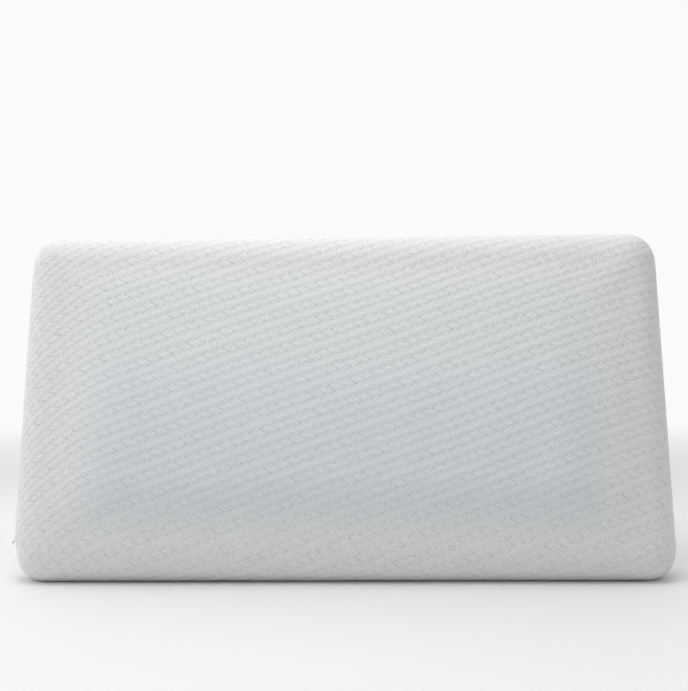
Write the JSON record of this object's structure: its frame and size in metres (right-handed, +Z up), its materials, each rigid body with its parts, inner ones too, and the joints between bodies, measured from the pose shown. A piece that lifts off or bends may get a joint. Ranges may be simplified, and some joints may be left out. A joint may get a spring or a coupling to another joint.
{
  "type": "bed pillow",
  "caption": "Rectangular moulded memory-foam bed pillow with a cooling gel pad, inner liner and zipped white knit cover, standing on its long edge and leaning back.",
  "frame": {"origin": "middle of the box of the whole pillow, on the surface it stands on", "axes": "+X along the long edge, away from the zip; +Y to the back, the way the pillow leans; +Z up"},
  "size_m": [0.7128, 0.1632, 0.3719],
  "materials": {
    "cover_knit": "matt white jacquard air-layer knit with diagonal ribs and a zigzag groove",
    "liner_jersey": "plain off-white jersey",
    "seam_thread": "white polyester sewing thread",
    "memory_foam": "matt open-cell memory foam, whose weight is nearer to cloth's than to rubber's",
    "cooling_gel": "smooth pale blue gel",
    "zip_tape": "woven white tape",
    "zip_nylon": "white nylon coil, satin",
    "slider_metal": "dark grey plated die casting, satin",
    "pull_metal": "light grey plated metal, satin"
  },
  "bodies": {
    "pillow": {"cover_front_panel": "cover_knit", "cover_back_panel": "cover_knit", "cover_seam": "seam_thread", "liner_front_panel": "liner_jersey", "liner_back_panel": "liner_jersey", "liner_seam": "seam_thread", "foam_core": "memory_foam", "gel_pad": "cooling_gel", "zip_tape_front": "zip_tape", "zip_tape_back": "zip_tape", "zip_coil_front": "zip_nylon", "zip_coil_back": "zip_nylon", "zip_bartack_lower": "seam_thread", "zip_bartack_upper": "seam_thread"},
    "slider": {"zip_slider": "slider_metal"},
    "pull": {"zip_pull": "pull_metal"}
  },
  "joints": [
    {"name": "zip_slide", "type": "slide", "parent": "pillow", "child": "slider", "axis": [0, 0.225, 0.9744], "range_m": [0, 0.2776]},
    {"name": "pull_hinge", "type": "hinge", "parent": "slider", "child": "pull", "pos_m": [-0.35205, -0.03019, 0.04732], "axis": [0, 0.9744, -0.225], "range_deg": [0, 149]}
  ]
}
